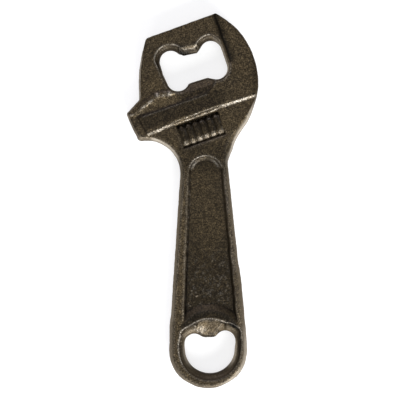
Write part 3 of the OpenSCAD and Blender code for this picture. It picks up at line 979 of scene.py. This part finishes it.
def panel_highlights(x, y, beads, glints):
    """Painted highlights on the panel: along its round top, in bright beads on its left wall, and as
    glints on its rough foot.
    """
    depth = -outline_distance(x, y, panel_outline())
    # The round top's painted highlight is brightest at both shoulders.
    above = fade(y, PANEL_TOP_AT[1] + 1.5, PANEL_TOP_AT[1] + 3)
    shoulders = peak(np.abs(x - PANEL_TOP_AT[0] + 0.6) - 5, 1.6)
    arch = np.maximum(0.7 * peak(depth - 0.1, 0.2), shoulders * peak(depth - 1.4, 0.45))
    left_wall = peak(depth - 0.7, 0.4) * fade(-x, 2, 4) * span(y, 14, 17, 73, 76)
    foot = 0.3 * glints * fade(depth, 1, 2) * span(y, 18, 20, 30, 46)
    return np.maximum.reduce([above * arch, (0.25 * beads + 0.7 * glints) * left_wall, foot])


def head_highlights(s, t, beads):
    """Painted highlights on the crest of the lower jaw with its two knobs, and on the upper edge of
    the bar.
    """
    crest = t - line_height(s, CREST_LINE)
    bright_marks = (0.1 + 0.5 * beads) * peak(crest + 1.2, 0.5) * fade(-10 - s, 0, 2)
    for knob in CREST_KNOBS:
        bright_marks = np.maximum(bright_marks, peak(circle_distance(s, t, knob, 0), 0.8))
    return np.maximum(bright_marks, 0.4 * peak(t - BAR_TOP + 0.6, 0.25) * span(s, -28, -27, 1, 2))


def worm_highlights(s, t, beads):
    """Painted highlights: thin light edges between the worm's ribs, and around their upper ends."""
    place = rib_place(s)[1]
    rise = t - POCKET_AT[1]
    inside = fade(POCKET[0] / 2 - np.abs(s - POCKET_AT[0]), 0, 0.5) * fade(4.6 - np.abs(rise), 0, 0.4)
    flanks = peak(place - 0.36, 0.07)
    tops = peak(rise - 3.5 + 5 * place**2, 0.3) * (np.abs(place) < 0.36)
    return (0.15 + 0.45 * beads) * inside * np.maximum(flanks, tops)


def rim_highlights(x, y, rim):
    """Painted highlights on the rims of the holes, where they face down the handle, or to the right.
    """
    s, t = to_jaw(x, y)
    around = np.arctan2(y - HOLE_AT[1], x - HOLE_AT[0])
    eye = fade(np.cos(around - radians(128)), -0.2, 0.4) + 0.8 * peak(around - radians(38), 0.5)
    window = fade(t, 1, 4) * fade(CREASE - 3 - s, 0, 2) + 0.25 * fade(-9 - s, 0, 2)
    return np.where(y < 40, eye, 0.75 * window) * peak(rim - 0.15, 0.2)


def shade_lines(x, y):
    """Painted shade in narrow lines: round the bar's end and the cap tooth, and beside the crease."""
    s, t = to_jaw(x, y)
    around_bar = [BAR_END[1], BAR_END[0], (1.4, BAR_TOP), (4.2, -11.9), (6.6, -9.6), (6.8, -7.4)]
    line_shade = peak(path_distance(s, t, around_bar), 0.34)
    line_shade = np.maximum(line_shade, peak(s - CREASE - 0.35, 0.35) * span(t, -5, -1, 15, 17))
    # Both ends of the boss's edge, the lip's left side, and the lower edge of the eye's hole.
    depth = -outline_distance(x, y, panel_outline())
    ends = fade(np.abs(x - BOSS_AT[0]), 6.3, 8) * fade(depth, -0.2, 0.4) * fade(y, 10, 13)
    line_shade = np.maximum(line_shade, ends * peak(circle_distance(x, y, BOSS_AT, BOSS_R - 0.2), 0.4))
    line_shade = np.maximum(line_shade, 0.9 * peak(path_distance(x, y, LIP_EDGE), 0.4))
    hole_edge = circle_distance(x, y, HOLE_AT, HOLE_R + 0.15)
    return np.maximum(line_shade, 0.8 * peak(hole_edge, 0.35) * fade(-y, 3, 7))


def reflected_light_walls(x, y, level, edge, rim):
    """Painted light on walls, which are made pale: the outer ones round their rims, and some of the
    holes'.
    """
    s = to_jaw(x, y)[0]
    outer = fade(edge, -2.2, -1.5)
    rounded_part = (0.12 + 0.88 * fade(level, 0.03, 0.3)) * (1 - fade(level, 0.55, 0.85))
    below_head = 0.1 + 0.9 * fade(y, 76, 86) + 0.6 * fade(x, 2, 10) * fade(14 - y, 0, 12)
    below_head = below_head + 0.15 * fade(-x, 2, 10) * fade(30 - y, 0, 20)
    below_head = below_head * fade(112 - y, 0, 14) * (1 - 0.8 * fade(-x, 20.5, 23.5) * fade(y, 84, 88))
    left_wall = 0.6 * fade(-x, 24, 26) * span(y, 106, 110, 126, 131)
    eye_sides = fade(-rim, 1.1, 1.8) * fade(y, -9, -4) * near_eye(y)
    eye_sides = eye_sides * fade(np.abs(x - HOLE_AT[0]), 5.5, 8) * (1 - 0.8 * fade(y, 1, 5))
    window_right = fade(-rim, 0.1, 0.5) * fade(s, 11, 13) * fade(y, 100, 102)
    outer_part = rounded_part * outer * np.clip(below_head + left_wall, 0, 1)
    return outer_part + 0.35 * eye_sides + 0.3 * window_right


def surface_marks(shape, normals, faces, rim, edge):
    """What the material reads: worn edges and painted highlights, painted shade in hollows, walls,
    walls painted with reflected light, and the painted light and shade.
    """
    x, y = shape.T[:2]
    s, t = to_jaw(x, y)
    level = np.abs(normals[:, 2])  # 1 on the faces, and 0 on an upright wall
    bend = ((shape - neighbour_mean(shape, faces)) * normals).sum(axis=1)
    for _ in range(2):
        bend = neighbour_mean(bend, faces)
    sharp = bend / SHARP_BEND
    beads = np.clip(2.2 * noise(shape, 1.2, 31) + 0.1, 0, 1)
    glints = np.clip(3 * noise(shape, 0.8, 32) - 0.6, 0, 1)

    on_head = fade(y, 90, 96) * fade(rim, 2.2, 3)
    in_pocket = fade(POCKET[0] / 2 + 0.3 - np.abs(s - POCKET_AT[0]), 0, 0.5)
    in_pocket = in_pocket * fade(POCKET[1] / 2 + 0.3 - np.abs(t - POCKET_AT[1]), 0, 0.5)
    rib_ends = in_pocket * fade(POCKET_AT[1] - 2 - t, 0, 1)
    inside_rim = fade(0.3 - rim, 0, 0.5)
    # Painted shade in a narrow ring just inside the rims of the holes, fainter at the foot of the eye.
    under_rim = peak(rim + 0.35, 0.25) * mix(0.8, 0.2, fade(-y, 4, 9))
    in_eye = inside_rim * near_eye(y)

    # Sharp edges are worn light, except on the head and in the worm's pocket; the lower ends of the
    # worm's ribs get a painted highlight.
    edge_share = 0.35 * (1 - on_head) * (1 - in_pocket) + (0.4 + 0.6 * beads) * rib_ends
    # Wear on sharp edges, and painted highlights.
    bright_marks = [
        np.clip(sharp, 0, 1) * edge_share,
        rim_highlights(x, y, rim),
        worm_highlights(s, t, beads),
        step_highlight(s, t, beads),
        panel_highlights(x, y, beads, glints),
        head_highlights(s, t, beads),
        lip_glint(x, y, 1.3) * (0.45 + 0.55 * beads),
    ]
    # Painted shade in concave places, less in the worm's pocket and the eye, and in the ring under the
    # rims.
    concave_shade = -sharp * (1 - 0.4 * in_pocket) * (1 - 0.85 * in_eye) + under_rim
    # The wall mark smooths the grain of drafted walls and gives them a lighter colour, which is
    # painted light from the floor.
    wall = np.maximum(0.8 * inside_rim, 1 - fade(level, 0.7, 0.95))
    return {
        "wear_and_highlights": np.clip(np.maximum.reduce(bright_marks), 0, 1),
        "hollow": np.clip(np.maximum(concave_shade, shade_lines(x, y)), 0, 1),
        "wall": wall * (1 - 0.85 * on_head * fade(level, 0.1, 0.4)),
        "reflected_light": reflected_light_walls(x, y, level, edge, rim),
        "light_and_shade": light_and_shade_of(x, y, rim),
    }


# ---------- materials ----------

IRON_DARK, IRON_LIGHT = (0.031, 0.023, 0.0125), (0.077, 0.058, 0.032)
# A lighter colour for walls, which is painted light from the floor.
FLOOR_LIT_WALL_COLOUR = (0.1, 0.077, 0.048)
# The colour of painted shade in hollows and grooves.
HOLLOW_SHADE_COLOUR = (0.012, 0.009, 0.006)
# The colour of painted light on pale walls.
REFLECTED_LIGHT_COLOUR = (0.42, 0.375, 0.31)
# The colour of worn edges and of painted highlights.
WEAR_AND_HIGHLIGHT_COLOUR = (0.5, 0.46, 0.4)


class Nodes:
    """A short way to add shader nodes and link them."""

    def __init__(self, tree):
        self.tree = tree

    def add(self, kind, **settings):
        node = self.tree.nodes.new("ShaderNode" + kind)
        inputs = settings.pop("inputs", {})
        for name, value in settings.items():
            setattr(node, name, value)
        for name, value in inputs.items():
            if isinstance(value, bpy.types.NodeSocket):
                self.tree.links.new(value, node.inputs[name])
            else:
                node.inputs[name].default_value = value
        return node

    def noise(self, place, size, detail=2.0):
        """Noise whose spots are about size millimetres wide."""
        inputs = {"Vector": place, "Scale": 1 / (size * MM), "Detail": detail}
        return self.add("TexNoise", inputs=inputs).outputs["Fac"]

    def ramp(self, value, stops):
        """Maps a value to a number or a colour through a colour ramp."""
        node = self.add("ValToRGB", inputs={"Fac": value})
        elements = node.color_ramp.elements
        while len(elements) < len(stops):
            elements.new(0.5)
        for element, (place, colour) in zip(elements, stops):
            element.position = place
            element.color = (*colour, 1) if isinstance(colour, tuple) else (colour, colour, colour, 1)
        return node.outputs["Color"]

    def mix_colour(self, share, a, b, blend="MIX"):
        """Mixes two colours, each a socket or a tuple."""
        node = self.add("Mix", data_type="RGBA", blend_type=blend)
        for socket, value in ((0, share), (6, a), (7, b)):
            if isinstance(value, bpy.types.NodeSocket):
                self.tree.links.new(value, node.inputs[socket])
            else:
                node.inputs[socket].default_value = (*value, 1) if isinstance(value, tuple) else value
        return node.outputs[2]

    def math(self, operation, a, b=0.0):
        node = self.add("Math", operation=operation, inputs={0: a, 1: b})
        return node.outputs[0]

    def mark(self, name):
        return self.add("Attribute", attribute_name=name).outputs["Fac"]


def cast_iron():
    """Dark bronze-brown cast iron: grainy faces, smoother walls, bright worn edges, and painted light,
    shade and highlights from the vertex marks.
    """
    material = bpy.data.materials.new("cast_iron")
    material.use_nodes = True
    tree = material.node_tree
    nodes = Nodes(tree)
    shader = tree.nodes["Principled BSDF"]
    place = nodes.add("TexCoord").outputs["Object"]

    fine = nodes.noise(place, 0.55, 3)
    coarse = nodes.noise(place, 1.3, 3)
    cloud = nodes.noise(place, 9, 2)

    base = nodes.ramp(coarse, [(0.3, IRON_DARK), (0.7, IRON_LIGHT)])
    speckled = nodes.ramp(fine, [(0.34, 0.3), (0.52, 0.9), (0.7, 2.2)])
    smooth = nodes.math("MULTIPLY", nodes.mark("wall"), 0.7)
    base = nodes.mix_colour(nodes.math("SUBTRACT", 0.9, smooth), base, speckled, "MULTIPLY")
    clouded = nodes.ramp(cloud, [(0.3, (0.8, 0.8, 0.84)), (0.7, (1.2, 1.16, 1.08))])
    base = nodes.mix_colour(0.6, base, clouded, "MULTIPLY")
    # Walls get a lighter colour as painted light from the floor.
    base = nodes.mix_colour(nodes.math("MULTIPLY", nodes.mark("wall"), 0.5), base, FLOOR_LIT_WALL_COLOUR)
    # Painted shade in hollows and grooves.
    base = nodes.mix_colour(nodes.math("MULTIPLY", nodes.mark("hollow"), 0.85), base, HOLLOW_SHADE_COLOUR)
    # Painted light on pale walls.
    base = nodes.mix_colour(nodes.mark("reflected_light"), base, REFLECTED_LIGHT_COLOUR)
    # Worn edges and painted highlights.
    bright_marks = nodes.math("MULTIPLY", nodes.mark("wear_and_highlights"), nodes.ramp(fine, [(0.35, 0.1), (0.65, 1.0)]))
    base = nodes.mix_colour(nodes.math("MULTIPLY", bright_marks, 0.75), base, WEAR_AND_HIGHLIGHT_COLOUR)
    # The base colour is scaled by the painted light and shade.
    shaded_base = nodes.add("VectorMath", operation="SCALE", inputs={0: base, "Scale": nodes.mark("light_and_shade")})
    tree.links.new(shaded_base.outputs[0], shader.inputs["Base Color"])

    rough = nodes.ramp(fine, [(0.3, 0.62), (0.7, 0.38)])
    tree.links.new(rough, shader.inputs["Roughness"])
    shader.inputs["Metallic"].default_value = 0.9
    shader.inputs["Specular IOR Level"].default_value = 0.5
    shader.inputs["Specular Tint"].default_value = (0.45, 0.4, 0.34, 1)
    shader.inputs["Coat Weight"].default_value = 0.1
    shader.inputs["Coat Roughness"].default_value = 0.27

    bump = nodes.add(
        "Bump",
        inputs={"Height": nodes.noise(place, 0.7, 3), "Strength": 0.9, "Distance": 0.3 * MM},
    )
    tree.links.new(bump.outputs["Normal"], shader.inputs["Normal"])
    tree.links.new(bump.outputs["Normal"], shader.inputs["Coat Normal"])
    return material


def paper():
    """The pale floor, which glows a little, as paper does on a light table."""
    material = bpy.data.materials.new("pale_floor")
    material.use_nodes = True
    shader = material.node_tree.nodes["Principled BSDF"]
    shader.inputs["Base Color"].default_value = (0.4, 0.4, 0.4, 1)
    shader.inputs["Roughness"].default_value = 0.9
    shader.inputs["Specular IOR Level"].default_value = 0.1
    shader.inputs["Emission Color"].default_value = (1, 1, 1, 1)
    shader.inputs["Emission Strength"].default_value = 0.7
    return material


# ---------- stage, lights and camera ----------


def make_floor():
    half = 8
    corners = [(-half, -half, 0), (half, -half, 0), (half, half, 0), (-half, half, 0)]
    mesh = bpy.data.meshes.new("floor")
    mesh.from_pydata(corners, [], [(0, 1, 2, 3)])
    mesh.materials.append(paper())
    floor = bpy.data.objects.new("floor", mesh)
    bpy.context.scene.collection.objects.link(floor)


def make_light(name, place, size, watts, colour=(1, 1, 1)):
    """A square soft box that faces the opener."""
    light = bpy.data.lights.new(name, "AREA")
    light.size = size
    light.energy = watts
    light.color = colour
    lamp = bpy.data.objects.new(name, light)
    lamp.location = place
    lamp.rotation_euler = (-Vector(place)).to_track_quat("-Z", "Y").to_euler()
    bpy.context.scene.collection.objects.link(lamp)


def make_world():
    world = bpy.data.worlds.new("studio")
    world.use_nodes = True
    background = world.node_tree.nodes["Background"]
    background.inputs["Color"].default_value = (1, 1, 1, 1)
    background.inputs["Strength"].default_value = 0.3
    bpy.context.scene.world = world


def make_camera():
    """Straight above the opener, a little turned, as the photograph was taken."""
    distance = 0.46
    picture_width = 0.1713  # what the picture spans at the opener's middle plane
    aside, ahead = 0.0022, 0.00034
    middle_z = (cad_low[2] + cad_high[2]) / 2
    data = bpy.data.cameras.new("camera")
    data.sensor_width = 36
    data.lens = data.sensor_width * distance / picture_width
    camera = bpy.data.objects.new("camera", data)
    centre = (cad_low + cad_high) / 2
    camera.location = (centre.x + aside, centre.y + ahead, middle_z + distance)
    camera.rotation_euler = (0, 0, radians(-1.2))
    bpy.context.scene.collection.objects.link(camera)
    bpy.context.scene.camera = camera


make_camera()
make_floor()
make_world()
make_light("key", (0.45, -0.85, 0.5), 0.6, 22)
make_light("side", (-0.4, -0.9, 0.4), 0.5, 4)
make_light("fill", (-0.2, 0.9, 0.5), 0.8, 4.5, (0.86, 0.83, 1))
make_light("overhead", (0, 0, 1.1), 0.8, 2.8, (0.95, 0.96, 1))
bpy.context.scene.view_settings.view_transform = "Standard"
cast_opener(cast_iron())
